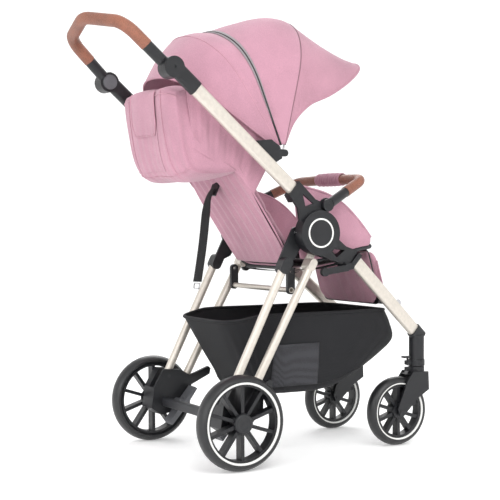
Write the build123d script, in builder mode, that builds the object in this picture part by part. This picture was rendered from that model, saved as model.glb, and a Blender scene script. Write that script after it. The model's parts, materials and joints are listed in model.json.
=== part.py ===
from build123d import *
import math
import os

# Four-wheel folding stroller, in millimetres. +Z up, the child faces -Y, the pusher stands at +Y.
# Side views are drawn in (Y, Z). Pieces on both sides are drawn for +X and mirrored.

# ---- wheels
REAR_WHEEL_R = 120.0
REAR_TYRE_W = 44.0
REAR_WHEEL_X = 256.7
REAR_AXLE = (164.4, 120.0)
FRONT_WHEEL_R = 94.5
FRONT_TYRE_W = 37.0
FRONT_WHEEL_X = 159.2
FRONT_AXLE = (-384.3, 94.5)
SWIVEL_Y = -454.0
SPOKES = 10

# ---- hub, where the upper frame, the front tubes and the rear legs meet
HUB = (-99.0, 588.4)
HUB_UPPER_X = (204.0, 220.5)
HUB_LOWER_X = (180.0, 203.0)
HUB_UPPER_R = 59.0
HUB_LOWER_R = 56.0
FOLD_PIN_R = 8.0
RUNNING = 0.05

# ---- main tubes, a rounded oval section, drawn between their ends in (X, Y, Z)
TUBE_W = 20.0
TUBE_H = 36.0
TUBE_WALL = 1.6
UPPER_TUBE = ((197.4, -22.9, 705.7), (197.4, 253.8, 947.4))
LOWER_TUBE = ((192.0, -221.2, 514.9), (162.6, -440.4, 316.0))
INSERT = 18.0
HUB_INSERT = 8.0

# ---- rear legs: a main tube and a link on each side
LEG_R = 11.0
LEG_X = 189.5
LEG_TOP = (-48.0, 590.0)
LEG_FOOT = (152.0, 190.0)
LINK_TOP = (-105.0, 538.0)
LINK_FOOT = (97.0, 174.0)
LEG_PIN_R = 5.0
LEG_PLATE_X = (171.0, 177.5)
LINK_PLATE_X = (164.0, 170.0)

# ---- handle
HANDLE_PIVOT = (321.7, 995.9)
HANDLE_X = 188.0
HANDLE_BEND = (172.0, 436.0, 1103.0)
HANDLE_APEX = (0.0, 470.0, 1134.0)
HANDLE_TUBE_R = 11.0
GRIP_R = 16.0
HINGE_R = 27.0
BUTTON_R = 20.0

# ---- bumper bar
BUMPER_PIVOT = (215.5, -122.0, 661.0)
BUMPER_CORNER = (166.0, -268.0, 731.5)
BUMPER_MIDDLE_Y = -275.0
BUMPER_MIDDLE_Z = 735.0
BUMPER_R = 14.0

# ---- seat, back rest and leg rest
SEAT_REAR = (-112.0, 512.0)
SEAT_FRONT = (-300.0, 550.0)
SEAT_TUBE_R = 7.0
SEAT_HALF = 150.0
BACK_FOOT = (-64.0, 494.0)
BACK_ANGLE = 56.6
BACK_LENGTH = 480.0
BACK_HALF = 148.0
LEG_REST_ANGLE = 254.0
LEG_REST_LENGTH = 168.0

# ---- canopy, a hood of arched bows that turn about one cross axis
CANOPY_PIVOT = (-13.0, 796.0)
CANOPY_HALF = 166.0
CANOPY_TOP = 360.0
CANOPY_SKIN = 3.5
FRONT_SKIN_STEP = 10.0
REAR_BOW_ANGLE = 67.0
HOOD_REAR_ANGLE = 33.0
FRONT_BOW_ANGLE = 105.0
VISOR_REACH = 262.0


def along(start, end):
    """Plane at start whose normal runs to end."""
    run = (Vector(*end) - Vector(*start)).normalized()
    across = (0, 1, 0) if abs(run.X) > 0.99 else (1, 0, 0)
    return Plane(origin=start, x_dir=across, z_dir=run)


def distance(start, end):
    return (Vector(*end) - Vector(*start)).length


def side(x):
    """Side-view plane, local axes (Y, Z), at this X."""
    return Plane.YZ.offset(x)


def slope_plane(foot, degrees, lift=0.0):
    """Plane on a slab that rises at this angle from foot, its local y up the slab."""
    turn = math.radians(degrees)
    normal = Vector(0, -math.sin(turn), math.cos(turn))
    origin = Vector(0, foot[0], foot[1]) + normal * lift
    return Plane(origin=origin, x_dir=(1, 0, 0), z_dir=normal)


def save(builder, name):
    builder.part.label = name
    export_step(builder.part, "parts/" + name + ".step")


def slab(depth_x, points, mode=Mode.ADD, margin=0.0):
    """Closed side-view outline extruded between two X values."""
    with BuildSketch(side(depth_x[0])) as outline:
        with BuildLine():
            Polyline(*points, close=True)
        make_face()
        if margin:
            offset(amount=margin)
    extrude(outline.sketch, amount=depth_x[1] - depth_x[0], mode=mode)


def disc(centre, radius, depth_x, mode=Mode.ADD):
    """Round plate across X."""
    with BuildSketch(side(depth_x[0])) as outline:
        with Locations(centre):
            Circle(radius)
    extrude(outline.sketch, amount=depth_x[1] - depth_x[0], mode=mode)


def bar(start, end, radius, depth_x):
    """Plate with two round ends, seen from the side."""
    run = (end[0] - start[0], end[1] - start[1])
    middle = ((start[0] + end[0]) / 2, (start[1] + end[1]) / 2, 0)
    slope = math.degrees(math.atan2(run[1], run[0]))
    with BuildSketch(side(depth_x[0])) as outline:
        with Locations(Location(middle, (0, 0, slope))):
            SlotCenterToCenter(math.hypot(*run), 2 * radius)
    extrude(outline.sketch, amount=depth_x[1] - depth_x[0])


def oval_tube(start, end, mode=Mode.ADD, grow=0.0, hollow=True):
    """Straight length of the frame tube."""
    with BuildSketch(along(start, end)) as outline:
        RectangleRounded(TUBE_W + 2 * grow, TUBE_H + 2 * grow, TUBE_W / 2 - 1 + grow)
        if hollow:
            RectangleRounded(
                TUBE_W - 2 * TUBE_WALL, TUBE_H - 2 * TUBE_WALL, TUBE_W / 2 - 1 - TUBE_WALL,
                mode=Mode.SUBTRACT)
    extrude(outline.sketch, amount=distance(start, end), mode=mode)


def round_tube(start, end, radius, bore=0.0, mode=Mode.ADD):
    with BuildSketch(along(start, end)) as outline:
        Circle(radius)
        if bore:
            Circle(bore, mode=Mode.SUBTRACT)
    extrude(outline.sketch, amount=distance(start, end), mode=mode)


def shifted(point, towards, amount):
    """Point moved from one (X, Y, Z) towards another, or away for a negative amount."""
    run = (Vector(*towards) - Vector(*point)).normalized()
    return tuple(Vector(*point) + run * amount)


# =====================================================================  chassis
os.makedirs("parts", exist_ok=True)
lower_inside = shifted(LOWER_TUBE[0], LOWER_TUBE[1], -HUB_INSERT)
elbow_inside = shifted(LOWER_TUBE[1], LOWER_TUBE[0], -INSERT)
upper_inside = shifted(UPPER_TUBE[0], UPPER_TUBE[1], -INSERT)
socket_inside = shifted(UPPER_TUBE[1], UPPER_TUBE[0], -INSERT)

with BuildPart() as hub_lowers:
    disc(HUB, HUB_LOWER_R, HUB_LOWER_X)
    slab((179.0, 201.0), [(-84, 536), (-60, 556), (-150, 606), (-160, 576), (-190, 552), (-228, 539),
                          (-196, 497), (-160, 512)])
    slab((177.6, 206.0), [(-229, 535), (-239, 526), (-212, 496), (-202, 505)])
    slab((179.0, 206.0), [(-176, 500), (-184, 510), (-214, 508), (-206, 492), (-186, 486)])
    slab((160, 220), [(-137, 549), (-190, 543), (-160, 521)], Mode.SUBTRACT, -1.5)
    oval_tube(lower_inside, LOWER_TUBE[1], Mode.SUBTRACT, 0.0, False)
    disc(HUB, FOLD_PIN_R, (170, 210), Mode.SUBTRACT)
    disc(LEG_TOP, LEG_PIN_R, (170, 190), Mode.SUBTRACT)
    disc(LINK_TOP, LEG_PIN_R, (170, 190), Mode.SUBTRACT)
    mirror(about=Plane.YZ)
save(hub_lowers, "hub_lowers")

with BuildPart() as fold_pins:
    disc(HUB, FOLD_PIN_R, (178.0, 215.0))
    disc(HUB, FOLD_PIN_R + 4, (177.2, 179.0))
    disc(LEG_TOP, LEG_PIN_R, (170.6, 190.0))
    disc(LEG_TOP, LEG_PIN_R + 3, (168.0, 170.6))
    disc(LINK_TOP, LEG_PIN_R, (163.6, 190.0))
    disc(LINK_TOP, LEG_PIN_R + 3, (161.0, 163.6))
    mirror(about=Plane.YZ)
save(fold_pins, "fold_pins")

with BuildPart() as front_tubes:
    oval_tube(lower_inside, elbow_inside)
    mirror(about=Plane.YZ)
save(front_tubes, "front_tubes")

ELBOW_TOP = 292.0
SWIVEL_TOP = 216.0
KINGPIN_R = 9.0
LOCK_Y = SWIVEL_Y + 31.0
LOCK_PIN_R = 3.0
with BuildPart() as front_elbows:
    with BuildSketch(Plane((FRONT_WHEEL_X, SWIVEL_Y, SWIVEL_TOP))):
        RectangleRounded(36, 42, 16)
    extrude(amount=ELBOW_TOP - SWIVEL_TOP + 8)
    with BuildSketch(along(LOWER_TUBE[1], elbow_inside)):
        RectangleRounded(TUBE_W + 8, TUBE_H + 6, 12)
    extrude(amount=34)
    with Locations((FRONT_WHEEL_X, SWIVEL_Y, SWIVEL_TOP + 8)):
        Cylinder(23, 16)
    oval_tube(LOWER_TUBE[1], elbow_inside, Mode.SUBTRACT, 0.0, False)
    with Locations((FRONT_WHEEL_X, SWIVEL_Y, SWIVEL_TOP - 18)):
        Cylinder(KINGPIN_R, 40)
    with Locations((FRONT_WHEEL_X, LOCK_Y - 3, SWIVEL_TOP + 9)):
        Box(13, 18, 12)
    with Locations((FRONT_WHEEL_X, LOCK_Y, SWIVEL_TOP + 9)):
        Cylinder(LOCK_PIN_R + RUNNING, 12, mode=Mode.SUBTRACT)
    mirror(about=Plane.YZ)
save(front_elbows, "front_elbows")

CROSS_TUBE = (-392.0, 392.0)
with BuildPart() as front_cross_tube:
    round_tube((-156.0, *CROSS_TUBE), (156.0, *CROSS_TUBE), 8.0, 6.6)
    for hand in (1, -1):
        with Locations(Location((hand * 157.0, CROSS_TUBE[0], CROSS_TUBE[1]), (0, 90, 0))):
            Cylinder(10, 2)
save(front_cross_tube, "front_cross_tube")

seat_tilt = math.degrees(math.atan2(SEAT_FRONT[1] - SEAT_REAR[1], SEAT_REAR[0] - SEAT_FRONT[0]))
seat_depth = math.dist(SEAT_FRONT, SEAT_REAR)
with BuildPart() as seat_frame:
    for end in (SEAT_REAR, SEAT_FRONT):
        round_tube((-SEAT_HALF, *end), (SEAT_HALF, *end), SEAT_TUBE_R)
    for hand in (1, -1):
        round_tube((hand * SEAT_HALF, *SEAT_REAR), (hand * SEAT_HALF, *SEAT_FRONT), SEAT_TUBE_R)
        for end in (SEAT_REAR, SEAT_FRONT):
            with Locations((hand * SEAT_HALF, *end)):
                Sphere(SEAT_TUBE_R)
        round_tube((hand * SEAT_HALF, -172.0, 524.2), (hand * 179.0, -172.0, 524.2), SEAT_TUBE_R)
save(seat_frame, "seat_frame")

seat_plane = Plane(
    origin=(0, SEAT_REAR[0], SEAT_REAR[1]), x_dir=(-1, 0, 0),
    z_dir=(0, math.sin(math.radians(seat_tilt)), math.cos(math.radians(seat_tilt))))
with BuildPart() as seat_board:
    with BuildSketch(seat_plane.offset(SEAT_TUBE_R)):
        with Locations((0, seat_depth / 2 - 3)):
            RectangleRounded(2 * SEAT_HALF - 12, seat_depth - 14, 12)
    extrude(amount=5)
save(seat_board, "seat_board")

with BuildPart() as seat_cushion:
    with BuildSketch(seat_plane.offset(SEAT_TUBE_R + 5.3)):
        with Locations((0, seat_depth / 2 - 3)):
            RectangleRounded(2 * SEAT_HALF - 6, seat_depth - 8, 24)
    extrude(amount=20)
    fillet(seat_cushion.edges().group_by(Axis.Z)[-1], 4)
save(seat_cushion, "seat_cushion")

with BuildPart() as seat_sides:
    slab((157.2, 160.2), [(-104, 524), (-62, 640), (-44, 712), (-130, 686), (-215, 652), (-292, 578),
                          (-288, 556), (-200, 538)])
    mirror(about=Plane.YZ)
save(seat_sides, "seat_sides")

with BuildPart() as harness_buckle:
    with BuildSketch(seat_plane.offset(SEAT_TUBE_R + 25.6)):
        with Locations((0, seat_depth * 0.45)):
            RectangleRounded(26, 60, 4)
    extrude(amount=3)
    with BuildSketch(seat_plane.offset(SEAT_TUBE_R + 28.6)):
        with Locations((0, seat_depth * 0.33)):
            RectangleRounded(46, 40, 12)
    extrude(amount=8)
save(harness_buckle, "harness_buckle")

BASKET_HALF = 150.0
BASKET_WALL = 3.0
basket_floor = [(136, 356), (24, 160), (-190, 160), (-250, 178), (-326, 224), (-402, 262)]
basket_rim = [(-402, 318), (-338, 378), (58, 378)]
with BuildPart() as basket:
    with BuildSketch(Plane.YZ):
        with BuildLine():
            Polyline(*basket_floor, *basket_rim, close=True)
        make_face()
    extrude(amount=BASKET_HALF, both=True)
    with BuildSketch(Plane.YZ):
        with BuildLine():
            Polyline((131, 358), (22, 163), (-190, 163), (-249, 181), (-325, 227), (-399, 264),
                     (-399, 420), (131, 420), close=True)
        make_face()
    extrude(amount=BASKET_HALF - BASKET_WALL, both=True, mode=Mode.SUBTRACT)
save(basket, "basket")

with BuildPart() as latch_brackets:
    bar((-116, 486), (-186, 495), 8.5, (207.0, 214.0))
    slab((206.0, 214.0), [(-176, 487), (-182, 506), (-212, 506), (-206, 492)])
    disc((-116, 486), 11.5, (206.0, 216.0))
    mirror(about=Plane.YZ)
save(latch_brackets, "latch_brackets")

# =====================================================================  upper frame
LOBE = (BUMPER_PIVOT[1], BUMPER_PIVOT[2])
BUMPER_BOSS_X = (209.5, 221.5)
with BuildPart() as hub_uppers:
    slab((202.2, 211.0), [(-8, 687), (-38, 723), (-88, 676), (-110, 668), (-120, 640), (-56, 622),
                          (-41, 620), (-34, 654)])
    slab((184.4, 204.0), [(-8, 687), (-38, 723), (-51, 701), (-43, 686), (-20, 668)])
    disc(HUB, HUB_LOWER_R + 5, (180, HUB_UPPER_X[0]), Mode.SUBTRACT)
    disc(LOBE, 18.0, (202.2, 209.0))
    disc(LOBE, 20.0, (209.2, 230.0), Mode.SUBTRACT)
    disc(HUB, HUB_UPPER_R, HUB_UPPER_X)
    disc(LOBE, 5.0, (209.0, 221.0))
    disc(LOBE, 19.0, (204.1, 209.0))
    slab((170, 230), [(-43, 699), (-88, 664), (-55, 653)], Mode.SUBTRACT, -3)
    oval_tube(upper_inside, UPPER_TUBE[1], Mode.SUBTRACT, 0.0, False)
    disc(HUB, FOLD_PIN_R + RUNNING, (195, 215.4), Mode.SUBTRACT)
    disc(HUB, 38.6, (219.5, 221.5), Mode.SUBTRACT)
    disc(HUB, 34.4, (219.5, 220.5))
    mirror(about=Plane.YZ)
save(hub_uppers, "hub_uppers")

with BuildPart() as hub_rings:
    with BuildSketch(side(219.5)):
        with Locations(HUB):
            Circle(38.6)
            Circle(34.4, mode=Mode.SUBTRACT)
    extrude(amount=1.7)
    mirror(about=Plane.YZ)
save(hub_rings, "hub_rings")

with BuildPart() as upper_tubes:
    oval_tube(upper_inside, socket_inside)
    mirror(about=Plane.YZ)
save(upper_tubes, "upper_tubes")

SOCKET_DISC_X = (198.6, 219.5)
HINGE_X = (177.5, 198.0)
with BuildPart() as handle_sockets:
    with BuildSketch(along(UPPER_TUBE[1], socket_inside)):
        RectangleRounded(TUBE_W + 6, TUBE_H + 4, 11)
    extrude(amount=96)
    disc(HANDLE_PIVOT, HINGE_R + 1.0, (170.0, SOCKET_DISC_X[0]), Mode.SUBTRACT)
    disc(HANDLE_PIVOT, HINGE_R, SOCKET_DISC_X)
    oval_tube(UPPER_TUBE[1], socket_inside, Mode.SUBTRACT, 0.0, False)
    disc(HANDLE_PIVOT, 4.0, (217.5, 222.0), Mode.SUBTRACT)
    disc(HANDLE_PIVOT, 5.0, (190.0, SOCKET_DISC_X[0]))
    mirror(about=Plane.YZ)
save(handle_sockets, "handle_sockets")

CANOPY_PIN_R = 4.0
with BuildPart() as canopy_brackets:
    slab((178.0, 186.9), [(-2, 782), (4, 812), (30, 830), (74, 826), (60, 790), (30, 764)])
    bar(CANOPY_PIVOT, (10, 797), 9.0, (178.0, 184.0))
    disc(CANOPY_PIVOT, CANOPY_PIN_R, (152.0, 178.0))
    mirror(about=Plane.YZ)
save(canopy_brackets, "canopy_brackets")


def bow_plane(degrees):
    """Plane of an arched bow: local x across, local y out from the canopy's cross axis."""
    turn = math.radians(degrees)
    return Plane(origin=(0, *CANOPY_PIVOT), x_dir=(1, 0, 0),
                 z_dir=(0, -math.sin(turn), math.cos(turn)))


def arch(half, base, top):
    """Straight sides and a round crown, as an open line from left foot to right foot."""
    crown = top - half
    Line((-half, base), (-half, crown))
    ThreePointArc((-half, crown), (0, top), (half, crown))
    Line((half, crown), (half, base))


def arch_skin(plane, half, base, top, skin):
    """Section between two arches, one skin apart."""
    with BuildSketch(plane) as section:
        with BuildLine():
            arch(half, base, top)
            Line((half, base), (-half, base))
        make_face()
        with BuildLine():
            arch(half - skin, base - 1, top - skin)
            Line((half - skin, base - 1), (skin - half, base - 1))
        make_face(mode=Mode.SUBTRACT)
    return section.sketch


canopy_axis = Axis((0, *CANOPY_PIVOT), (1, 0, 0))
with BuildPart() as canopy_rear:
    revolve(arch_skin(bow_plane(HOOD_REAR_ANGLE), CANOPY_HALF, 60.0, CANOPY_TOP, CANOPY_SKIN),
            canopy_axis, REAR_BOW_ANGLE - HOOD_REAR_ANGLE - 1.5)
save(canopy_rear, "canopy_rear")


def bow(degrees, half, base, top, radius):
    """Round wire bent to an arch."""
    with BuildLine(bow_plane(degrees)) as path:
        arch(half, base, top)
    with BuildSketch(Plane(path.wire() @ 0, z_dir=path.wire() % 0)) as section:
        Circle(radius)
    sweep(section.sketch, path=path.wire())


BOW_R = 2.6
with BuildPart() as canopy_bow_rear:
    bow(REAR_BOW_ANGLE - 4, CANOPY_HALF - CANOPY_SKIN - BOW_R - 0.6, CANOPY_PIN_R + 0.2,
        CANOPY_TOP - CANOPY_SKIN - BOW_R - 0.6, BOW_R)
save(canopy_bow_rear, "canopy_bow_rear")

# =====================================================================  canopy front
front_half = CANOPY_HALF + FRONT_SKIN_STEP
front_top = CANOPY_TOP + FRONT_SKIN_STEP
with BuildPart() as canopy_front:
    revolve(arch_skin(bow_plane(REAR_BOW_ANGLE), front_half, 60.0, front_top, CANOPY_SKIN),
            canopy_axis, FRONT_BOW_ANGLE - REAR_BOW_ANGLE)
save(canopy_front, "canopy_front")

front_bow_half = CANOPY_HALF + 1.0 + BOW_R
with BuildPart() as canopy_bow_front:
    bow(FRONT_BOW_ANGLE - 2, front_bow_half, CANOPY_PIN_R + 3, CANOPY_TOP + 1.0 + BOW_R, BOW_R)
    for hand in (1, -1):
        disc(CANOPY_PIVOT, 9.0, (hand * (front_bow_half - 2.2), hand * (front_bow_half + 2.2)))
        disc(CANOPY_PIVOT, CANOPY_PIN_R + RUNNING, (hand * 150, hand * 180), Mode.SUBTRACT)
save(canopy_bow_front, "canopy_bow_front")


def visor_section(reach, half, base, crown, top, skin):
    """Arched section of the visor at this reach, with the same edges at every station."""
    with BuildSketch(bow_plane(FRONT_BOW_ANGLE).offset(reach)) as section:
        with BuildLine():
            Line((-half, base), (-half, crown))
            ThreePointArc((-half, crown), (0, top), (half, crown))
            Line((half, crown), (half, base))
            Line((half, base), (half - skin, base))
            Line((half - skin, base), (half - skin, crown))
            ThreePointArc((half - skin, crown), (0, top - skin), (skin - half, crown))
            Line((skin - half, crown), (skin - half, base))
            Line((skin - half, base), (-half, base))
        make_face()
    return section.sketch


with BuildPart() as canopy_visor:
    loft([
        visor_section(0.3, front_half, 132.0, front_top - front_half, front_top, 4.0),
        visor_section(VISOR_REACH, 66.0, 306.0, 312.0, 342.0, 4.0),
    ], ruled=True)
save(canopy_visor, "canopy_visor")

# =====================================================================  handle
hinge_centre = (HANDLE_X, *HANDLE_PIVOT)
left_bend = (-HANDLE_BEND[0], *HANDLE_BEND[1:])
grip_start = shifted(hinge_centre, HANDLE_BEND, 79.0)
tube_start = shifted(hinge_centre, HANDLE_BEND, 32.0)
sleeve_start = shifted(hinge_centre, HANDLE_BEND, 22.0)


def mirrored(point):
    return (-point[0], point[1], point[2])


def handle_path(start):
    """Handle centre line between two mirrored ends."""
    FilletPolyline(start, HANDLE_BEND, HANDLE_APEX, left_bend, mirrored(start), radius=[58.0, 120.0, 58.0])


with BuildPart() as handle_tube:
    with BuildLine() as tube_line:
        handle_path(tube_start)
    with BuildSketch(Plane(tube_line.wire() @ 0, z_dir=tube_line.wire() % 0)):
        Circle(HANDLE_TUBE_R)
        Circle(HANDLE_TUBE_R - 1.5, mode=Mode.SUBTRACT)
    sweep(path=tube_line.wire())
save(handle_tube, "handle_tube")

with BuildPart() as handle_grip:
    with BuildLine() as grip_line:
        handle_path(grip_start)
    with BuildSketch(Plane(grip_line.wire() @ 0, z_dir=grip_line.wire() % 0)):
        Circle(GRIP_R)
        Circle(HANDLE_TUBE_R + 0.15, mode=Mode.SUBTRACT)
    sweep(path=grip_line.wire())
save(handle_grip, "handle_grip")

with BuildPart() as handle_hinges:
    disc(HANDLE_PIVOT, HINGE_R, HINGE_X)
    round_tube(sleeve_start, grip_start, 15.0)
    round_tube(tube_start, grip_start, HANDLE_TUBE_R, 0.0, Mode.SUBTRACT)
    disc(HANDLE_PIVOT, HINGE_R + 1.0, (HINGE_X[1], 230.0), Mode.SUBTRACT)
    disc(HANDLE_PIVOT, BUTTON_R + 0.6, (160.0, 188.5), Mode.SUBTRACT)
    disc(HANDLE_PIVOT, 5.0 + RUNNING, (188.0, 200.0), Mode.SUBTRACT)
    mirror(about=Plane.YZ)
save(handle_hinges, "handle_hinges")

for hand, word in ((1, "left"), (-1, "right")):
    with BuildPart() as handle_button:
        disc(HANDLE_PIVOT, BUTTON_R, (hand * 174.0, hand * 183.0))
    save(handle_button, "handle_button_" + word)

# =====================================================================  back rest
with BuildPart() as backrest_board:
    with BuildSketch(slope_plane(BACK_FOOT, BACK_ANGLE, 4)):
        with Locations((0, BACK_LENGTH / 2 - 2)):
            RectangleRounded(2 * BACK_HALF - 12, BACK_LENGTH + 4, 30)
    extrude(amount=6)
    disc(BACK_FOOT, 5.0, (-110.0, 110.0))
save(backrest_board, "backrest_board")

with BuildPart() as backrest_cushion:
    with BuildSketch(slope_plane(BACK_FOOT, BACK_ANGLE, 10.3)):
        with Locations((0, BACK_LENGTH / 2 + 14)):
            RectangleRounded(2 * BACK_HALF, BACK_LENGTH - 22, 40)
    extrude(amount=18)
save(backrest_cushion, "backrest_cushion")

with BuildPart() as shoulder_straps:
    with BuildSketch(slope_plane(BACK_FOOT, BACK_ANGLE, 28.6)):
        with Locations((58, 220), (-58, 220)):
            RectangleRounded(36, 240, 8)
    extrude(amount=3)
save(shoulder_straps, "shoulder_straps")

with BuildPart() as backrest_bag:
    with BuildSketch(Plane.YZ):
        with BuildLine():
            Polyline((98, 734), (236, 728), (268, 752), (288, 800), (302, 900), (300, 955), (258, 965),
                     (214, 915), close=True)
        make_face()
    extrude(amount=158, both=True)
    fillet(backrest_bag.edges().filter_by(Axis.X).sort_by(Axis.Z)[2:5], 6)
save(backrest_bag, "backrest_bag")

STRAP_W = 25.0
STRAP_T = 1.8
strap_route = [(0, 101, 706), (0, 116, 690), (0, 124, 640), (0, 131, 575), (0, 140, 515), (0, 150, 459)]
with BuildPart() as strap_buckle:
    with BuildSketch(Plane((0, 94, 705), x_dir=(1, 0, 0), z_dir=(0, 1, 0.4))):
        RectangleRounded(34, 40, 5)
    extrude(amount=6)
save(strap_buckle, "strap_buckle")

strap_corners = [Vector(*point) for point in strap_route]
strap_radii = []
for before, corner, after in zip(strap_corners, strap_corners[1:], strap_corners[2:]):
    turn = (corner - before).get_angle(after - corner)
    run = min((corner - before).length, (after - corner).length)
    strap_radii.append(0.45 * run / math.tan(math.radians(turn / 2)))
print("strap radii", [round(radius) for radius in strap_radii])
with BuildPart() as recline_strap:
    with BuildLine() as strap_line:
        FilletPolyline(*strap_route, radius=strap_radii)
    with BuildSketch(Plane(strap_line.wire() @ 0, x_dir=(1, 0, 0), z_dir=strap_line.wire() % 0)):
        Rectangle(STRAP_W, STRAP_T)
    sweep(path=strap_line.wire())
save(recline_strap, "recline_strap")
print("strap length", round(strap_line.wire().length, 1),
      "volume ratio", round(recline_strap.part.volume / (strap_line.wire().length * STRAP_W * STRAP_T), 3))

ring_plane = Plane(origin=(0, 150.6, 456.9), x_dir=(1, 0, 0), z_dir=(0, 0.985, 0.17))
with BuildPart() as strap_ring:
    with BuildSketch(ring_plane):
        with Locations((0, 9)):
            RectangleRounded(33, 17, 5)
            RectangleRounded(27, 11, 3, mode=Mode.SUBTRACT)
    extrude(amount=1.4, both=True)
save(strap_ring, "strap_ring")

# =====================================================================  rear legs and links
leg_run = (LEG_FOOT[0] - LEG_TOP[0], LEG_FOOT[1] - LEG_TOP[1])
leg_length = math.hypot(*leg_run)
leg_way = (leg_run[0] / leg_length, leg_run[1] / leg_length)


def on_leg(amount):
    return (LEG_TOP[0] + amount * leg_way[0], LEG_TOP[1] + amount * leg_way[1])


SLEEVE_START = 74.0
SLEEVE_END = 104.0
with BuildPart() as leg_heads:
    bar(LEG_TOP, on_leg(SLEEVE_END), 14.0, LEG_PLATE_X)
    slab(LEG_PLATE_X, [on_leg(14), on_leg(96), (-44, 520), (-62, 548)])
    bar(on_leg(SLEEVE_START + 14), on_leg(SLEEVE_END), 14.0, (176.0, 203.0))
    round_tube((LEG_X, *on_leg(SLEEVE_START + 20)), (LEG_X, *on_leg(200)), LEG_R, 0.0, Mode.SUBTRACT)
    disc(LEG_TOP, LEG_PIN_R + RUNNING, (160, 190), Mode.SUBTRACT)
    mirror(about=Plane.YZ)
save(leg_heads, "leg_heads")

with BuildPart() as leg_tubes:
    round_tube((LEG_X, *on_leg(SLEEVE_START + 20)), (LEG_X, *on_leg(leg_length - 16)), LEG_R, LEG_R - 1.5)
    with Locations(Location((LEG_X, *LEG_FOOT), (0, 90, 0))):
        Cylinder(12.0, 22.0)
    round_tube((LEG_X, *on_leg(leg_length - 17)), (LEG_X, *on_leg(leg_length - 9)), LEG_R)
    disc(LEG_FOOT, LEG_PIN_R + RUNNING, (170, 210), Mode.SUBTRACT)
    mirror(about=Plane.YZ)
save(leg_tubes, "leg_tubes")

link_run = (LINK_FOOT[0] - LINK_TOP[0], LINK_FOOT[1] - LINK_TOP[1])
link_length = math.hypot(*link_run)


def on_link(amount):
    share = amount / link_length
    return (LINK_TOP[0] + share * link_run[0], LINK_TOP[1] + share * link_run[1])


with BuildPart() as link_tubes:
    bar(LINK_TOP, on_link(44), 11.0, LINK_PLATE_X)
    bar(on_link(32), on_link(44), 11.0, (164.0, 200.5))
    round_tube((LEG_X, *on_link(40)), (LEG_X, *on_link(link_length)), LEG_R)
    disc(LINK_TOP, LEG_PIN_R + RUNNING, (160, 190), Mode.SUBTRACT)
    mirror(about=Plane.YZ)
save(link_tubes, "link_tubes")

# =====================================================================  rear carriage
CHEEK_OUT_X = (201.4, 232.0)
CHEEK_IN_X = (168.0, 177.6)
with BuildPart() as rear_brackets:
    for cheek in (CHEEK_OUT_X, CHEEK_IN_X):
        slab(cheek, [(82, 186), (118, 206), (168, 210), (198, 160), (206, 104), (176, 84), (134, 92),
                     (84, 146)])
    slab((168.0, 232.0), [(92, 152), (124, 158), (150, 170), (198, 160), (206, 104), (176, 84),
                          (134, 92), (84, 146)])
    disc(REAR_AXLE, 24.0, (228.0, 234.0))
    slab((168.0, 177.6), [(96, 156), (26, 188), (22, 204), (30, 210), (84, 190), (112, 156)])
    disc((LINK_FOOT[0], LINK_FOOT[1]), LEG_R + 3.5, (177.6, 201.4), Mode.SUBTRACT)
    slab((177.6, 201.4), [(82, 172), (112, 170), (100, 240), (20, 240)], Mode.SUBTRACT)
    disc(LEG_FOOT, LEG_PIN_R, (160, 220), Mode.SUBTRACT)
    disc(REAR_AXLE, 6.0, (160, 240), Mode.SUBTRACT)
    mirror(about=Plane.YZ)
save(rear_brackets, "rear_brackets")

with BuildPart() as rear_axle:
    with BuildSketch(side(-167.6)):
        with Locations(REAR_AXLE):
            RectangleRounded(18, 26, 6)
    extrude(amount=2 * 167.6)
    disc(REAR_AXLE, 6.0, (-276.0, 276.0))
    for hand in (1, -1):
        disc(LEG_FOOT, LEG_PIN_R, (hand * 168.0, hand * 216.0))
save(rear_axle, "rear_axle")

PEDAL_PIVOT = (131.0, 120.0)
for hand, word in ((1, "left"), (-1, "right")):
    with BuildPart() as brake_pedal:
        slab((hand * 126.0, hand * 164.0), [(86, 156), (94, 161), (129, 119), (171, 70), (163, 60), (122, 106)])
        disc(PEDAL_PIVOT, 9.0, (hand * 134.0, hand * 167.4))
        slab((hand * 140.0, hand * 156.0), [(112, 130), (131, 129), (140, 118), (130, 108)])
    save(brake_pedal, "brake_pedal_" + word)


# =====================================================================  wheels
def wheel(name, word, x, axle, radius, width, bore):
    """Tyre, and a rim of spokes with its hub."""
    seat = radius - 22.0
    lip = seat - 3.0
    with BuildPart() as tyre:
        with BuildSketch(Plane(origin=(x, *axle), x_dir=(1, 0, 0), z_dir=(0, -1, 0))):
            with BuildLine():
                Polyline((-width * 0.36, seat), (-width / 2, seat + 6), (-width / 2, radius - 10))
                ThreePointArc((-width / 2, radius - 10), (0, radius), (width / 2, radius - 10))
                Polyline((width / 2, radius - 10), (width / 2, seat + 6), (width * 0.36, seat))
                Line((width * 0.36, seat), (-width * 0.36, seat))
            make_face()
        revolve(axis=Axis((x, *axle), (1, 0, 0)))
    save(tyre, name + "_tyre_" + word)
    with BuildPart() as rim:
        disc(axle, seat, (x - width * 0.36, x + width * 0.36))
        disc(axle, lip - 3.0, (x - width, x + width), Mode.SUBTRACT)
        disc(axle, 21.0, (x - width * 0.42, x + width * 0.42))
        with BuildSketch(side(x - width * 0.3)):
            with Locations(axle):
                with PolarLocations(0, SPOKES):
                    with Locations((0, (lip + 16) / 2)):
                        Rectangle(9, lip - 16)
        extrude(amount=width * 0.6)
        disc(axle, bore, (x - width, x + width), Mode.SUBTRACT)
    save(rim, name + "_rim_" + word)


for hand, word in ((1, "left"), (-1, "right")):
    wheel("rear", word, hand * REAR_WHEEL_X, REAR_AXLE, REAR_WHEEL_R, REAR_TYRE_W, 6.0 + RUNNING)
    wheel("front", word, hand * FRONT_WHEEL_X, FRONT_AXLE, FRONT_WHEEL_R, FRONT_TYRE_W, 4.0 + RUNNING)

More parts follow.
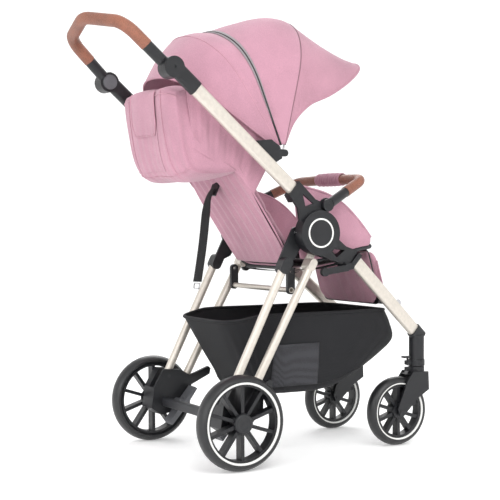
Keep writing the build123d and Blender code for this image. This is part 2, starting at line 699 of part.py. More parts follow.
# =====================================================================  front forks
FORK_TOP = SWIVEL_TOP - 2.0
ARM_IN = FRONT_TYRE_W / 2 + 1.5
ARM_OUT = FRONT_TYRE_W / 2 + 8.0
for hand, word in ((1, "left"), (-1, "right")):
    x = hand * FRONT_WHEEL_X
    with BuildPart() as front_fork:
        for cheek in (1, -1):
            lo, hi = sorted((x + cheek * ARM_IN, x + cheek * ARM_OUT))
            slab((lo, hi), [(-476, 200), (-424, 202), (-404, 176), (-372, 102), (-378, 84), (-392, 82),
                            (-402, 92), (-440, 128), (-478, 150)])
        with BuildSketch(side(x - ARM_IN - 2)):
            with BuildLine():
                Polyline((-473, 198), (-427, 200), (-417, 193), (-471, 171), close=True)
            make_face()
        extrude(amount=2 * ARM_IN + 4)
        with Locations((x, SWIVEL_Y, FORK_TOP - 12)):
            Cylinder(22, 24)
        disc(FRONT_AXLE, 4.0, (x - ARM_OUT - 1, x + ARM_OUT + 1))
        with Locations((x, LOCK_Y - 4, FORK_TOP - 6.5)):
            Box(13, 20, 11)
        with Locations((x, LOCK_Y, FORK_TOP - 6)):
            Cylinder(LOCK_PIN_R + 0.4, 16, mode=Mode.SUBTRACT)
        with Locations((x, SWIVEL_Y, FORK_TOP - 26)):
            Cylinder(KINGPIN_R + RUNNING, 60, mode=Mode.SUBTRACT)
    save(front_fork, "front_fork_" + word)
    with BuildPart() as swivel_lock:
        with Locations((x, LOCK_Y, SWIVEL_TOP + 12)):
            Cylinder(LOCK_PIN_R, 22)
        with Locations((x, LOCK_Y + 5, SWIVEL_TOP + 25)):
            Box(16, 21, 5)
    save(swivel_lock, "swivel_lock_" + word)

# =====================================================================  bumper bar
arm_end = shifted(BUMPER_PIVOT, BUMPER_CORNER, 84.0)
arm_start = shifted(BUMPER_PIVOT, BUMPER_CORNER, 12.0)
with BuildPart() as bumper_arms:
    disc((BUMPER_PIVOT[1], BUMPER_PIVOT[2]), 16.0, BUMPER_BOSS_X)
    round_tube(arm_start, arm_end, 13.0)
    disc((BUMPER_PIVOT[1], BUMPER_PIVOT[2]), 19.5, (190.0, 209.4), Mode.SUBTRACT)
    disc((BUMPER_PIVOT[1], BUMPER_PIVOT[2]), 5.0 + RUNNING, (200.0, 230.0), Mode.SUBTRACT)
    mirror(about=Plane.YZ)
save(bumper_arms, "bumper_arms")

WRAP_HALF = 62.0
middle = (0.0, BUMPER_MIDDLE_Y, BUMPER_MIDDLE_Z)
with BuildPart() as bumper_bar:
    with BuildLine() as bumper_line:
        FilletPolyline(arm_end, BUMPER_CORNER, middle, mirrored(BUMPER_CORNER), mirrored(arm_end),
                       radius=[42.0, 600.0, 42.0])
    with BuildSketch(Plane(bumper_line.wire() @ 0, z_dir=bumper_line.wire() % 0)):
        Circle(BUMPER_R)
    sweep(path=bumper_line.wire())
save(bumper_bar, "bumper_bar")

with BuildPart() as bumper_wrap:
    with BuildSketch(side(-WRAP_HALF)):
        with Locations((BUMPER_MIDDLE_Y + 1.2, BUMPER_MIDDLE_Z - 0.6)):
            Circle(BUMPER_R + 3.2)
    extrude(amount=2 * WRAP_HALF)
    with BuildSketch(side(-WRAP_HALF)):
        with Locations((BUMPER_MIDDLE_Y + 1.2, BUMPER_MIDDLE_Z - 0.6)):
            Circle(BUMPER_R + 1.7)
    extrude(amount=2 * WRAP_HALF, mode=Mode.SUBTRACT)
save(bumper_wrap, "bumper_wrap")

# =====================================================================  leg rest
LEG_REST_HALF = 144.0
rest_turn = math.radians(LEG_REST_ANGLE)
rest_front = (0, math.sin(rest_turn), -math.cos(rest_turn))
rest_plane = Plane(origin=(0, *SEAT_FRONT), x_dir=(-1, 0, 0), z_dir=rest_front)
with BuildPart() as leg_rest_board:
    with BuildSketch(rest_plane.offset(-3)):
        with Locations((0, LEG_REST_LENGTH / 2 + 4)):
            RectangleRounded(2 * LEG_REST_HALF - 10, LEG_REST_LENGTH - 8, 20)
    extrude(amount=6)
    for knuckle in (-96.0, 96.0):
        with BuildSketch(side(knuckle - 14)):
            with Locations(SEAT_FRONT):
                Circle(11.5)
        extrude(amount=28)
    disc(SEAT_FRONT, SEAT_TUBE_R + RUNNING, (-120, 120), Mode.SUBTRACT)
save(leg_rest_board, "leg_rest_board")

with BuildPart() as leg_rest_pad:
    with BuildSketch(rest_plane.offset(3.3)):
        with Locations((0, LEG_REST_LENGTH / 2 + 11)):
            RectangleRounded(2 * LEG_REST_HALF, LEG_REST_LENGTH - 10, 26)
    extrude(amount=32)
save(leg_rest_pad, "leg_rest_pad")

# =====================================================================  fold release
RELEASE_PIVOT = (-46.0, 486.0)
RELEASE_BAR = (-46.0, 438.0)
with BuildPart() as release_plates:
    for hand in (1, -1):
        bar(RELEASE_PIVOT, RELEASE_BAR, 11.0, (hand * 148.0, hand * 158.0))
        disc(RELEASE_PIVOT, 4.0 + RUNNING, (hand * 140.0, hand * 165.0), Mode.SUBTRACT)
        disc(RELEASE_BAR, 7.0, (hand * 140.0, hand * 165.0), Mode.SUBTRACT)
save(release_plates, "release_plates")

with BuildPart() as release_bar:
    round_tube((-158.0, *RELEASE_BAR), (158.0, *RELEASE_BAR), 7.0, 5.6)
save(release_bar, "release_bar")
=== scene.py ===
import json
import math

import bmesh
import bpy
import numpy as np
from mathutils import Matrix, Vector


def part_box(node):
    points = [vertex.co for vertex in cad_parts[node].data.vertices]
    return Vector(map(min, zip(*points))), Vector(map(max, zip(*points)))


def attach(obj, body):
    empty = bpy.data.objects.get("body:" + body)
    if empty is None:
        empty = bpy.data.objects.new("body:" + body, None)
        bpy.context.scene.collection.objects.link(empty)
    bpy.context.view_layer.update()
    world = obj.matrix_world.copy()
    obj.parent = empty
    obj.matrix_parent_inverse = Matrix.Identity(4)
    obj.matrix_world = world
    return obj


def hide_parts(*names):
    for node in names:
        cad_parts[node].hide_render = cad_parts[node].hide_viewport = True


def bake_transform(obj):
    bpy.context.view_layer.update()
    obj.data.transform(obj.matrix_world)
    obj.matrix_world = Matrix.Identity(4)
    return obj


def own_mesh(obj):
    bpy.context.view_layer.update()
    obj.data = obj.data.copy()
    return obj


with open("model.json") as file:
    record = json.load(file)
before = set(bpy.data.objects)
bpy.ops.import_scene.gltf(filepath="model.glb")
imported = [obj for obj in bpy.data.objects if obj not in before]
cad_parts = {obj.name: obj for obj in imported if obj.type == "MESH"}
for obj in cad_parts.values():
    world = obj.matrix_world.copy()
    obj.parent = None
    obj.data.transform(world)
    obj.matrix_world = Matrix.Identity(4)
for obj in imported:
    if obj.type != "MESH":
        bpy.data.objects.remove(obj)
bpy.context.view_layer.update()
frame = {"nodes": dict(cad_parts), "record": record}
NODES = frame["nodes"]
MM = 0.001
SIDES = ((1, "left"), (-1, "right"))


# ------------------------------------------------------------------ camera and light
def add_camera():
    """Camera at the photograph's place, a little above the seat on the pusher's right."""
    data = bpy.data.cameras.new("camera")
    data.lens = 90.23
    data.sensor_width = 36.0
    data.shift_x = -0.0119
    data.shift_y = -0.0124
    data.clip_end = 30.0
    right = Vector((-0.499405, -0.866363, -0.003043))
    up = Vector((0.017303, -0.013486, 0.999759))
    back = -Vector((0.866196, -0.499233, -0.021726))
    turn = Matrix((right, up, back)).transposed().to_4x4()
    camera = bpy.data.objects.new("camera", data)
    camera.matrix_world = Matrix.Translation((-2.95947, 1.67570, 0.63165)) @ turn
    bpy.context.scene.collection.objects.link(camera)
    bpy.context.scene.camera = camera


def add_area_light(name, place, target, size, power):
    data = bpy.data.lights.new(name, "AREA")
    data.shape = "SQUARE"
    data.size = size
    data.energy = power
    light = bpy.data.objects.new(name, data)
    way = Vector(target) - Vector(place)
    light.matrix_world = Matrix.Translation(place) @ way.to_track_quat("-Z", "Y").to_matrix().to_4x4()
    bpy.context.scene.collection.objects.link(light)


def add_studio():
    """Pale world and three soft lamps."""
    world = bpy.data.worlds.new("studio")
    world.use_nodes = True
    sky = world.node_tree.nodes["Background"]
    sky.inputs["Color"].default_value = (1.0, 1.0, 1.0, 1.0)
    sky.inputs["Strength"].default_value = 0.82
    bpy.context.scene.world = world
    bpy.context.scene.view_settings.view_transform = "Standard"
    middle = (0.0, 0.0, 0.55)
    add_area_light("key", (-2.6, 0.6, 3.0), middle, 2.4, 62.0)
    add_area_light("fill", (-1.2, 3.2, 1.6), middle, 2.2, 26.0)
    add_area_light("rim", (2.4, -1.4, 2.6), middle, 2.0, 40.0)


# ------------------------------------------------------------------ node materials
def linear(colour):
    """Linear RGBA of an sRGB colour in 0-255."""
    parts = [c / 255.0 for c in colour]
    return [p / 12.92 if p <= 0.04045 else ((p + 0.055) / 1.055) ** 2.4 for p in parts] + [1.0]


def shaded(colour, amount):
    return tuple(max(0.0, min(255.0, c * amount)) for c in colour)


def new_material(name, roughness, metallic=0.0, coat=0.0, sheen=0.0):
    material = bpy.data.materials.new(name)
    material.use_nodes = True
    shader = material.node_tree.nodes["Principled BSDF"]
    shader.inputs["Metallic"].default_value = metallic
    shader.inputs["Coat Weight"].default_value = coat
    shader.inputs["Coat Roughness"].default_value = 0.25
    shader.inputs["Sheen Weight"].default_value = sheen
    shader.inputs["Sheen Roughness"].default_value = 0.5
    shader.inputs["Roughness"].default_value = roughness
    return material, material.node_tree, shader


def place_node(tree, kind, **settings):
    node = tree.nodes.new(kind)
    for name, value in settings.items():
        if hasattr(node, name):
            setattr(node, name, value)
        else:
            node.inputs[name.replace("_", " ")].default_value = value
    return node


def noise(tree, vector, scale, detail=3.0, roughness=0.55):
    node = place_node(tree, "ShaderNodeTexNoise", Scale=scale, Detail=detail)
    node.inputs["Roughness"].default_value = roughness
    tree.links.new(vector, node.inputs["Vector"])
    return node.outputs["Fac"]


def math_node(tree, operation, first, second):
    node = place_node(tree, "ShaderNodeMath", operation=operation)
    for socket, value in zip(node.inputs, (first, second)):
        if isinstance(value, (int, float)):
            socket.default_value = value
        else:
            tree.links.new(value, socket)
    return node.outputs[0]


def mix(tree, first, share, second):
    """Two values added, the first with this share and the second with the rest."""
    return math_node(tree, "ADD", math_node(tree, "MULTIPLY", first, share),
                     math_node(tree, "MULTIPLY", second, round(1.0 - share, 2)))


def ramp(tree, factor, stops):
    """Colour ramp from (position, sRGB colour) stops."""
    node = tree.nodes.new("ShaderNodeValToRGB")
    elements = node.color_ramp.elements
    while len(elements) < len(stops):
        elements.new(0.5)
    for element, (position, colour) in zip(elements, stops):
        element.position = position
        element.color = linear(colour)
    tree.links.new(factor, node.inputs["Fac"])
    return node.outputs["Color"]


def roughen(tree, shader, factor, low, high):
    node = place_node(tree, "ShaderNodeMapRange", To_Min=low, To_Max=high)
    tree.links.new(factor, node.inputs["Value"])
    tree.links.new(node.outputs["Result"], shader.inputs["Roughness"])


def bump(tree, shader, height, strength, distance):
    node = place_node(tree, "ShaderNodeBump", Strength=strength, Distance=distance)
    tree.links.new(height, node.inputs["Height"])
    tree.links.new(node.outputs["Normal"], shader.inputs["Normal"])


def woven(name, colour, thread=1.1, heather=0.07, sheen=0.25, depth=0.00035, fold=0.0012):
    """Plain-weave cloth: fine crossed threads, heathered yarn and soft creases."""
    material, tree, shader = new_material(name, 0.86, sheen=sheen)
    vector = tree.nodes.new("ShaderNodeTexCoord").outputs["Object"]
    threads = []
    for axis in ("X", "Y", "Z"):
        wave = place_node(tree, "ShaderNodeTexWave", bands_direction=axis, Scale=300.0 / thread,
                          Distortion=0.6)
        wave.inputs["Detail Scale"].default_value = 3.0
        tree.links.new(vector, wave.inputs["Vector"])
        threads.append(wave.outputs["Fac"])
    weave = math_node(tree, "MULTIPLY", math_node(tree, "ADD", threads[0], threads[1]), threads[2])
    yarn = noise(tree, vector, 720.0, 2.0)
    cloud = noise(tree, vector, 9.0, 4.0)
    tone = mix(tree, yarn, 0.62, cloud)
    colours = ramp(tree, tone, [(0.32, shaded(colour, 1.0 - heather)), (0.5, colour),
                                (0.68, shaded(colour, 1.0 + heather))])
    tree.links.new(colours, shader.inputs["Base Color"])
    roughen(tree, shader, yarn, 0.78, 0.95)
    crease = math_node(tree, "MULTIPLY", noise(tree, vector, 26.0, 3.0), fold / depth)
    bump(tree, shader, math_node(tree, "ADD", weave, crease), 0.55, depth)
    return material


def leather(name, colour):
    """Grained leather: cells with fine pores and darker valleys."""
    material, tree, shader = new_material(name, 0.5, coat=0.08)
    vector = tree.nodes.new("ShaderNodeTexCoord").outputs["Object"]
    cells = place_node(tree, "ShaderNodeTexVoronoi", feature="DISTANCE_TO_EDGE", Scale=420.0)
    tree.links.new(vector, cells.inputs["Vector"])
    grain = math_node(tree, "MINIMUM", math_node(tree, "MULTIPLY", cells.outputs["Distance"], 4.0), 1.0)
    cloud = noise(tree, vector, 22.0, 5.0)
    tone = mix(tree, grain, 0.35, cloud)
    colours = ramp(tree, tone, [(0.25, shaded(colour, 0.72)), (0.55, colour),
                                (0.8, shaded(colour, 1.14))])
    tree.links.new(colours, shader.inputs["Base Color"])
    roughen(tree, shader, cloud, 0.4, 0.62)
    bump(tree, shader, math_node(tree, "ADD", grain, noise(tree, vector, 900.0)), 0.6, 0.0005)
    return material


def moulded(name, colour, roughness=0.5, grain=0.00012, spread=0.08, coat=0.0):
    """Moulded plastic or rubber: fine spark-eroded grain with faint scuffs."""
    material, tree, shader = new_material(name, roughness, coat=coat)
    vector = tree.nodes.new("ShaderNodeTexCoord").outputs["Object"]
    fine = noise(tree, vector, 1400.0, 2.0)
    scuff = noise(tree, vector, 34.0, 6.0, 0.7)
    colours = ramp(tree, scuff, [(0.3, shaded(colour, 1.0 - spread)), (0.6, colour),
                                 (0.8, shaded(colour, 1.0 + 2 * spread))])
    tree.links.new(colours, shader.inputs["Base Color"])
    roughen(tree, shader, scuff, roughness - 0.08, roughness + 0.1)
    bump(tree, shader, fine, 0.5, grain)
    return material


def metal(name, colour, roughness, metallic, spread=0.03):
    """Anodised or brushed metal with a faint drawn grain."""
    material, tree, shader = new_material(name, roughness, metallic)
    vector = tree.nodes.new("ShaderNodeTexCoord").outputs["Object"]
    stretched = place_node(tree, "ShaderNodeMapping")
    stretched.inputs["Scale"].default_value = (1.0, 0.12, 0.12)
    tree.links.new(vector, stretched.inputs["Vector"])
    drawn = noise(tree, stretched.outputs["Vector"], 800.0, 3.0)
    colours = ramp(tree, drawn, [(0.3, shaded(colour, 1.0 - spread)),
                                 (0.7, shaded(colour, 1.0 + spread))])
    tree.links.new(colours, shader.inputs["Base Color"])
    roughen(tree, shader, drawn, roughness - 0.05, roughness + 0.08)
    bump(tree, shader, drawn, 0.25, 0.00008)
    return material


def mesh_cloth(name, colour, hole, pitch):
    """Knitted mesh: round holes on a fine grid."""
    material, tree, shader = new_material(name, 0.9)
    vector = tree.nodes.new("ShaderNodeTexCoord").outputs["Object"]
    cells = place_node(tree, "ShaderNodeTexVoronoi", Scale=1.0 / pitch, Randomness=0.15)
    tree.links.new(vector, cells.inputs["Vector"])
    colours = ramp(tree, cells.outputs["Distance"], [(0.22, hole), (0.42, colour)])
    tree.links.new(colours, shader.inputs["Base Color"])
    bump(tree, shader, cells.outputs["Distance"], 0.6, 0.0006)
    return material


PINK = (186, 137, 154)
LOOKS = {
    "champagne_tube": metal("champagne_tube", (210, 203, 193), 0.33, 0.55),
    "black_plastic": moulded("black_plastic", (19, 20, 24), 0.44),
    "grey_plastic": moulded("grey_plastic", (88, 89, 93), 0.5),
    "brown_leather": leather("brown_leather", (141, 88, 68)),
    "pink_fabric": woven("pink_fabric", PINK, heather=0.10, fold=0.0026),
    "dark_fabric": woven("dark_fabric", (16, 16, 20), heather=0.14, sheen=0.02),
    "black_webbing": woven("black_webbing", (22, 22, 24), thread=2.2, heather=0.15, sheen=0.04),
    "steel": metal("steel", (196, 196, 198), 0.28, 0.9),
    "tyre_rubber": moulded("tyre_rubber", (23, 24, 26), 0.42, coat=0.2),
    "pale_trim": moulded("pale_trim", (232, 232, 229), 0.35, 0.00004, 0.02),
}
# Visor pink, a little darker than the hood's pink, which is painted shade on the visor and its hem.
visor_shaded_pink = woven("visor_shaded_pink", (179, 131, 147), heather=0.10, fold=0.0026)
# Darker copy of the pink cloth, which is painted shade: used under the seat and along the seam at the
# front bow.
painted_shade_pink = woven("painted_shade_pink", (128, 97, 106))
painted_steel = moulded("painted_steel", (34, 35, 39), 0.42)
grey_tape = woven("grey_tape", (148, 140, 144), thread=0.9, heather=0.1)
stitch_thread = woven("stitch_thread", (196, 146, 162), heather=0.1)
window_mesh = mesh_cloth("window_mesh", (58, 58, 62), (16, 16, 18), 0.0028)
hub_cap_look = moulded("hub_cap_look", (27, 28, 31), 0.36)
floor_look = moulded("floor_look", (246, 246, 246), 0.8, 0.00002, 0.004)
floor_shader = floor_look.node_tree.nodes["Principled BSDF"]
floor_shader.inputs["Emission Color"].default_value = (1.0, 1.0, 1.0, 1.0)
floor_shader.inputs["Emission Strength"].default_value = 0.22


# ------------------------------------------------------------------ mesh tools
def finish_piece(obj, material, body):
    """Gives a piece its look and the body that it rides on."""
    obj.data.materials.clear()
    obj.data.materials.append(material)
    if body:
        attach(obj, body)
    return obj


def pink(obj, body):
    return finish_piece(obj, LOOKS["pink_fabric"], body)


def mesh_object(name, verts, faces):
    mesh = bpy.data.meshes.new(name)
    mesh.from_pydata([tuple(v) for v in verts], [], faces)
    mesh.validate()
    for polygon in mesh.polygons:
        polygon.use_smooth = True
    obj = bpy.data.objects.new(name, mesh)
    bpy.context.scene.collection.objects.link(obj)
    return obj


def bake(obj):
    """Applies every modifier to the mesh."""
    graph = bpy.context.evaluated_depsgraph_get()
    mesh = bpy.data.meshes.new_from_object(obj.evaluated_get(graph))
    old = obj.data
    obj.modifiers.clear()
    obj.data = mesh
    bpy.data.meshes.remove(old)
    for polygon in mesh.polygons:
        polygon.use_smooth = True
    return obj


def grid(name, rows, thickness=0.0, wrap=False, subdivide=0):
    """Surface through rows of points, given a thickness and smoothed."""
    rows = np.asarray(rows, float)
    count, width = rows.shape[:2]
    faces = []
    for i in range(count - 1):
        for j in range(width if wrap else width - 1):
            k = (j + 1) % width
            faces.append((i * width + j, i * width + k, (i + 1) * width + k, (i + 1) * width + j))
    obj = mesh_object(name, rows.reshape(-1, 3), faces)
    if thickness:
        shell = obj.modifiers.new("shell", "SOLIDIFY")
        shell.thickness = thickness
        shell.offset = 0.0
    if subdivide:
        obj.modifiers.new("smooth", "SUBSURF").levels = subdivide
    return bake(obj) if thickness or subdivide else obj


def smooth_line(points, count):
    """Catmull-Rom curve through the points, evenly divided."""
    p = np.asarray(points, float)
    p = np.vstack([2 * p[0] - p[1], p, 2 * p[-1] - p[-2]])
    fine = []
    for i in range(1, len(p) - 2):
        for t in np.linspace(0, 1, 24, endpoint=False):
            a, b, c, d = p[i - 1:i + 3]
            fine.append(0.5 * (2 * b + (c - a) * t + (2 * a - 5 * b + 4 * c - d) * t * t
                               + (3 * b - a - 3 * c + d) * t ** 3))
    fine.append(p[-2])
    fine = np.array(fine)
    reach = np.concatenate([[0], np.cumsum(np.linalg.norm(np.diff(fine, axis=0), axis=1))])
    at = np.linspace(0, reach[-1], count)
    return np.stack([np.interp(at, reach, fine[:, k]) for k in range(fine.shape[1])], axis=1)


def ring_frames(line):
    """Two steady unit normals along a line."""
    tangent = np.gradient(line, axis=0)
    tangent /= np.linalg.norm(tangent, axis=1)[:, None]
    normal = np.cross(tangent[0], (0.3, 0.5, 0.81))
    normals = []
    for t in tangent:
        normal = normal - t * normal.dot(t)
        normal = normal / np.linalg.norm(normal)
        normals.append(normal)
    normals = np.array(normals)
    return normals, np.cross(tangent, normals)


def tube(name, line, radius, sides=10):
    """Round cord of this radius, or radii, along a line, with closed ends."""
    line = np.asarray(line, float)
    n, b = ring_frames(line)
    radii = np.full(len(line), radius) if np.isscalar(radius) else np.asarray(radius)
    turn = np.linspace(0, 2 * math.pi, sides, endpoint=False)
    rows = line[:, None] + radii[:, None, None] * (
        np.cos(turn)[None, :, None] * n[:, None] + np.sin(turn)[None, :, None] * b[:, None])
    start, end = (np.repeat(point[None, None], sides, 1) for point in (line[0], line[-1]))
    return grid(name, np.concatenate([start, rows, end]), wrap=True)


def ribbon(name, line, across, width, thickness):
    """Flat band along a line. Its width lies along across, one direction or one for each point."""
    line = np.asarray(line, float)
    across = np.broadcast_to(np.asarray(across, float), line.shape)
    across = across / np.linalg.norm(across, axis=-1, keepdims=True)
    steps = np.linspace(-0.5, 0.5, 5)[None, :, None] * width
    rows = line[:, None] + steps * across[:, None]
    return grid(name, rows, thickness)


def join(name, *objects):
    """One object from several."""
    mesh = bmesh.new()
    for o in objects:
        mesh.from_mesh(o.data)
        bpy.data.objects.remove(o)
    data = bpy.data.meshes.new(name)
    mesh.to_mesh(data)
    mesh.free()
    for polygon in data.polygons:
        polygon.use_smooth = True
    obj = bpy.data.objects.new(name, data)
    bpy.context.scene.collection.objects.link(obj)
    return obj


def turned(name, profile, centre, sides=48, toward=1.0):
    """Lathe round the X axis: profile of (outward X, radius) in millimetres, at a centre in metres."""
    turn = np.linspace(0, 2 * math.pi, sides, endpoint=False)
    rows = [[(centre[0] + toward * x * MM, centre[1] + r * MM * math.cos(a),
              centre[2] + r * MM * math.sin(a)) for a in turn] for x, r in profile]
    return grid(name, rows, wrap=True)


# ------------------------------------------------------------------ canopy
PIVOT = (-0.013, 0.796)
HOOD_HALF = 0.171
REAR_EDGE, REAR_BOW, ZIP_LINE, FRONT_BOW = 33.0, 56.0, 67.0, 103.0
HOOD_CLOTH = 0.0028
VISOR_STEPS = 59


def hood_top(angle):
    """How far the hood's crown stands from the hinge axis: high at each bow, low at the zip."""
    return np.interp(angle, [33, 45, 56, 62, 67, 73, 82, 94, 100, 103],
                     [0.352, 0.364, 0.371, 0.362, 0.349, 0.350, 0.356, 0.371, 0.375, 0.373])


def hood_point(across, angle, grow=0.0):
    """Point on the hood: across from -1 to 1 over the arch, at an angle round the hinge."""
    top = hood_top(angle) + grow
    half = HOOD_HALF + grow - 0.004 * math.cos(math.radians(angle * 2))
    crown = top - half * 0.98
    base = 0.022
    straight = (crown - base) / (crown - base + half * 1.5)
    if abs(across) > 1 - straight:
        share = (abs(across) - (1 - straight)) / straight
        x, r = half, crown + share * (base - crown)
    else:
        turn = abs(across) / (1 - straight) * math.pi / 2
        x = half * math.sin(turn) ** 0.9
        r = crown + (top - crown) * math.cos(turn) ** 0.92
    billow = 0.004 * math.sin(across * 9.0) * math.sin(math.radians(angle * 7))
    r += billow * max(0.0, min(1.0, (r - 0.1) * 5))
    a = math.radians(angle)
    return (math.copysign(x, across), PIVOT[0] + r * math.cos(a), PIVOT[1] + r * math.sin(a))


ACROSS = np.linspace(-1, 1, 73)


def hood_rows(first, last, count, grow=0.0):
    return [[hood_point(u, angle, grow) for u in ACROSS] for angle in np.linspace(first, last, count)]


VISOR_EDGE = smooth_line([(0.0, -0.317, 1.058), (0.075, -0.310, 1.048), (0.118, -0.289, 1.027),
                          (0.143, -0.236, 0.990), (0.160, -0.166, 0.953), (0.170, -0.098, 0.926),
                          (0.172, -0.048, 0.880), (0.172, -0.018, 0.818)], VISOR_STEPS + 1)


def visor_hem(across):
    """Point on the visor's free edge."""
    edge = VISOR_EDGE
    at = abs(across) * VISOR_STEPS
    low = int(min(VISOR_STEPS - 1, at))
    point = edge[low] + (edge[low + 1] - edge[low]) * (at - low)
    return np.array([math.copysign(point[0], across), point[1], point[2]])


def visor_point(across, share):
    """Point on the visor: share 0 at the front bow, 1 at the hem."""
    bow = np.array(hood_point(across, FRONT_BOW, 0.0))
    sag = 0.012 * math.sin(math.pi * share) * max(0.0, 1 - abs(across) * 1.6)
    flare = 0.006 * max(0.0, share - 0.8) / 0.2 * max(0.0, 1 - abs(across) * 1.5)
    point = bow + (visor_hem(across) - bow) * share
    return point + np.array([0.0, 0.0, flare - sag])


def stretch(obj, material):
    """Gives cloth between the rear hood and the front bow its look, on no body, and bakes its place into
    the mesh.
    """
    finish_piece(obj, material, None)
    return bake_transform(obj)


def build_canopy():
    rear_rows = hood_rows(REAR_EDGE, ZIP_LINE, 22)
    rear = pink(grid("canopy_rear_cloth", rear_rows, HOOD_CLOTH, subdivide=1), "upper_frame")
    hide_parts("canopy_rear")
    front_rows = hood_rows(ZIP_LINE, FRONT_BOW, 22)
    front = stretch(grid("canopy_front_cloth", front_rows, HOOD_CLOTH, subdivide=1),
                    LOOKS["pink_fabric"])
    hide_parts("canopy_front")

    visor_rows = [[visor_point(u, v) for u in ACROSS] for v in np.linspace(0, 1, 20)]
    # The visor and its hem take the darker visor pink, which is painted shade.
    visor = finish_piece(grid("canopy_visor_cloth", visor_rows, HOOD_CLOTH, subdivide=1), visor_shaded_pink,
                         "canopy_front")
    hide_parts("canopy_visor")
    hem = tube("canopy_visor_hem", [visor_point(u, 1.0) for u in ACROSS], 0.0028, 8)
    # The seam at the front bow is drawn in darker pink, which is painted shade in the fold between hood
    # and visor.
    seam = tube("canopy_visor_seam", [hood_point(u, FRONT_BOW, 0.0012) for u in ACROSS], 0.0011, 6)
    finish_piece(hem, visor_shaded_pink, "canopy_front")
    finish_piece(seam, painted_shade_pink, "canopy_front")
    for piece in (visor, hem):
        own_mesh(piece)

    zip_line = [hood_point(u, ZIP_LINE + 1.0, 0.0018) for u in ACROSS]
    teeth = tube("canopy_zip_teeth", zip_line, 0.0026, 8)
    stretch(teeth, LOOKS["black_plastic"])
    tape_rows = [[hood_point(u, ZIP_LINE + 1.0 + step, 0.0026) for u in ACROSS]
                 for step in (-1.5, -0.5, 0.5, 1.5)]
    tape = grid("canopy_zip_tape", tape_rows, 0.0012)
    stretch(tape, grey_tape)
    rear_hem = tube("canopy_rear_hem", [hood_point(u, REAR_EDGE + 0.3) for u in ACROSS], 0.0026, 8)
    pink(rear_hem, "upper_frame")
    rear_seam = tube("canopy_bow_seam", [hood_point(u, REAR_BOW, 0.0012) for u in ACROSS], 0.0009, 6)
    finish_piece(rear_seam, stitch_thread, "upper_frame")


# ------------------------------------------------------------------ padded pieces
def sloped(foot, degrees, lift):
    """Matrix of a slab's plane: local y up the slab from foot, z out of its face."""
    turn = math.radians(degrees)
    x = Vector((1, 0, 0))
    y = Vector((0, math.cos(turn), math.sin(turn)))
    z = x.cross(y)
    spot = Vector((0, foot[0], foot[1])) + z * lift
    return Matrix.Translation(spot) @ Matrix((x, y, z)).transposed().to_4x4()


def pad_blank(name, half, length, thick, corner):
    """Rounded block, local y from 0 to length, before it is puffed."""
    outline = []
    for cx, cy, start in ((half - corner, length - corner, 0), (-half + corner, length - corner, 90),
                          (-half + corner, corner, 180), (half - corner, corner, 270)):
        for a in np.radians(np.linspace(start, start + 90, 7)):
            outline.append((cx + corner * math.cos(a), cy + corner * math.sin(a)))
    rows = []
    middle = np.array([0.0, length / 2])
    for z, scale in ((-0.5, 0.0), (-0.5, 0.96), (-0.2, 1.0), (0.2, 1.0), (0.5, 0.96), (0.5, 0.0)):
        rows.append([(*(middle + (np.array(p) - middle) * scale), z * thick) for p in outline])
    return grid(name, rows, wrap=True)


PUFF_FRAMES = 20
PUFF_PRESSURE = 4.0
PUFF_VOXEL = 0.0055


def puff(obj, cap):
    """Inflates a closed blank by cloth simulation, moving no point further than cap."""
    remesh = obj.modifiers.new("remesh", "REMESH")
    remesh.mode = "VOXEL"
    remesh.voxel_size = PUFF_VOXEL
    bake(obj)
    start = np.empty(len(obj.data.vertices) * 3)
    obj.data.vertices.foreach_get("co", start)
    cloth = obj.modifiers.new("cloth", "CLOTH")
    cloth.settings.use_pressure = True
    cloth.settings.uniform_pressure_force = PUFF_PRESSURE
    cloth.settings.effector_weights.gravity = 0.0
    cloth.point_cache.frame_end = PUFF_FRAMES
    for step in range(1, PUFF_FRAMES + 1):
        bpy.context.scene.frame_set(step)
    bake(obj)
    end = np.empty_like(start)
    obj.data.vertices.foreach_get("co", end)
    shift = (end - start).reshape(-1, 3)
    reach = np.linalg.norm(shift, axis=1, keepdims=True)
    shift *= np.minimum(1.0, cap / np.maximum(reach, 1e-9))
    obj.data.vertices.foreach_set("co", (start.reshape(-1, 3) + shift).ravel())
    bpy.context.scene.frame_set(1)
    return obj


def press(obj, dent):
    """Moves each point along local z by dent(x, y), on the upper face only."""
    for v in obj.data.vertices:
        if v.co.z > 0:
            v.co.z += dent(v.co.x, v.co.y)


def channel(value, at, depth, width=0.006):
    """Sewn channel: a narrow valley where value passes at."""
    return -depth * math.exp(-((value - at) / width) ** 2)


def padded(blank, matrix, cap, dent, body, replaced):
    """Puffed pad with its sewn channels, set on its plane."""
    obj = puff(blank, cap)
    press(obj, dent)
    obj.modifiers.new("smooth", "SUBSURF").levels = 1
    bake(obj)
    obj.data.transform(matrix)
    pink(obj, body)
    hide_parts(*replaced)


BACK_FOOT, BACK_ANGLE = (-0.064, 0.494), 56.6
SEAT_REAR, SEAT_FRONT = (-0.112, 0.512), (-0.300, 0.550)
REST_ANGLE = 254.0


def facing_up(origin, along, lift):
    """Matrix of a slab's plane: local y runs along, from the origin, and z out of its upper face."""
    x = Vector((-1, 0, 0))
    z = x.cross(along)
    turned_to = Matrix((x, along, z)).transposed().to_4x4()
    return Matrix.Translation(Vector((0, *origin)) + z * lift) @ turned_to


def seat_matrix(lift):
    run = Vector((0, SEAT_FRONT[0] - SEAT_REAR[0], SEAT_FRONT[1] - SEAT_REAR[1])).normalized()
    return facing_up(SEAT_REAR, run, lift)


def rest_matrix(lift):
    turn = math.radians(REST_ANGLE)
    return facing_up(SEAT_FRONT, Vector((0, math.cos(turn), math.sin(turn))), lift)


